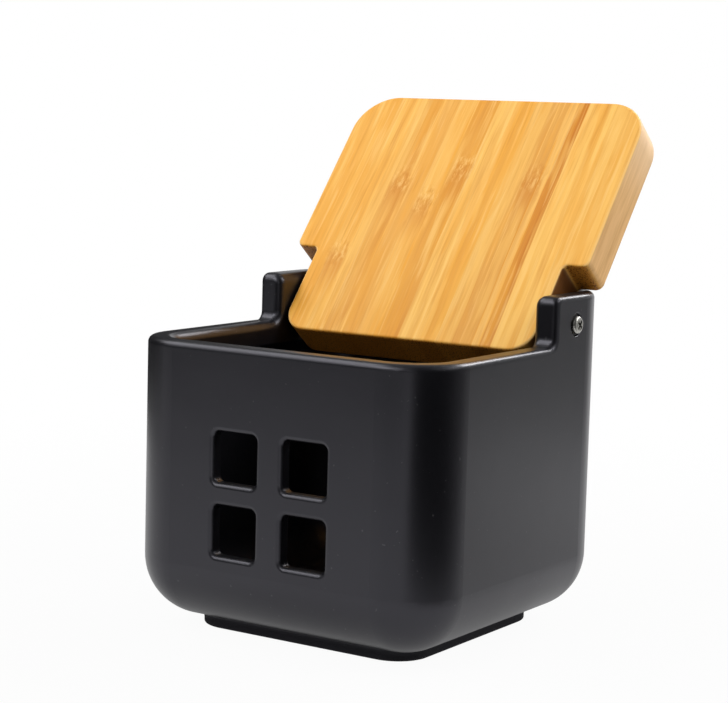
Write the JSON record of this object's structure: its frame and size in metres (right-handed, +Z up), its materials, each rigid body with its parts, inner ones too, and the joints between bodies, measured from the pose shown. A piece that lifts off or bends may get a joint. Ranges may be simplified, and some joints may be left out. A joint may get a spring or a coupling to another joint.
{
  "type": "garlic keeper",
  "caption": "Square glazed ceramic box with square ventilation windows in front and a thick hinged bamboo lid that stands open on its own stop.",
  "frame": {"origin": "on the ground, under the middle of the box's outline", "axes": "+Z up, -Y towards the front with the windows, +X towards the right side seen from the front"},
  "size_m": [0.1226, 0.1525, 0.1765],
  "materials": {
    "ceramic": "satin",
    "bamboo": "satin",
    "screw": "satin",
    "bush": "matte",
    "washer": "matte"
  },
  "bodies": {
    "box": {"ceramic_box": "ceramic", "hinge_bush_right": "bush", "hinge_bush_left": "bush"},
    "lid": {"bamboo_lid": "bamboo", "hinge_screw_right": "screw", "hinge_screw_left": "screw", "spacer_washer_right": "washer", "spacer_washer_left": "washer"}
  },
  "joints": [
    {"name": "lid_hinge", "type": "hinge", "parent": "box", "child": "lid", "pos_m": [0, 0.031, 0.1035], "axis": [-1, 0, 0], "range_deg": [-129, 0]}
  ]
}
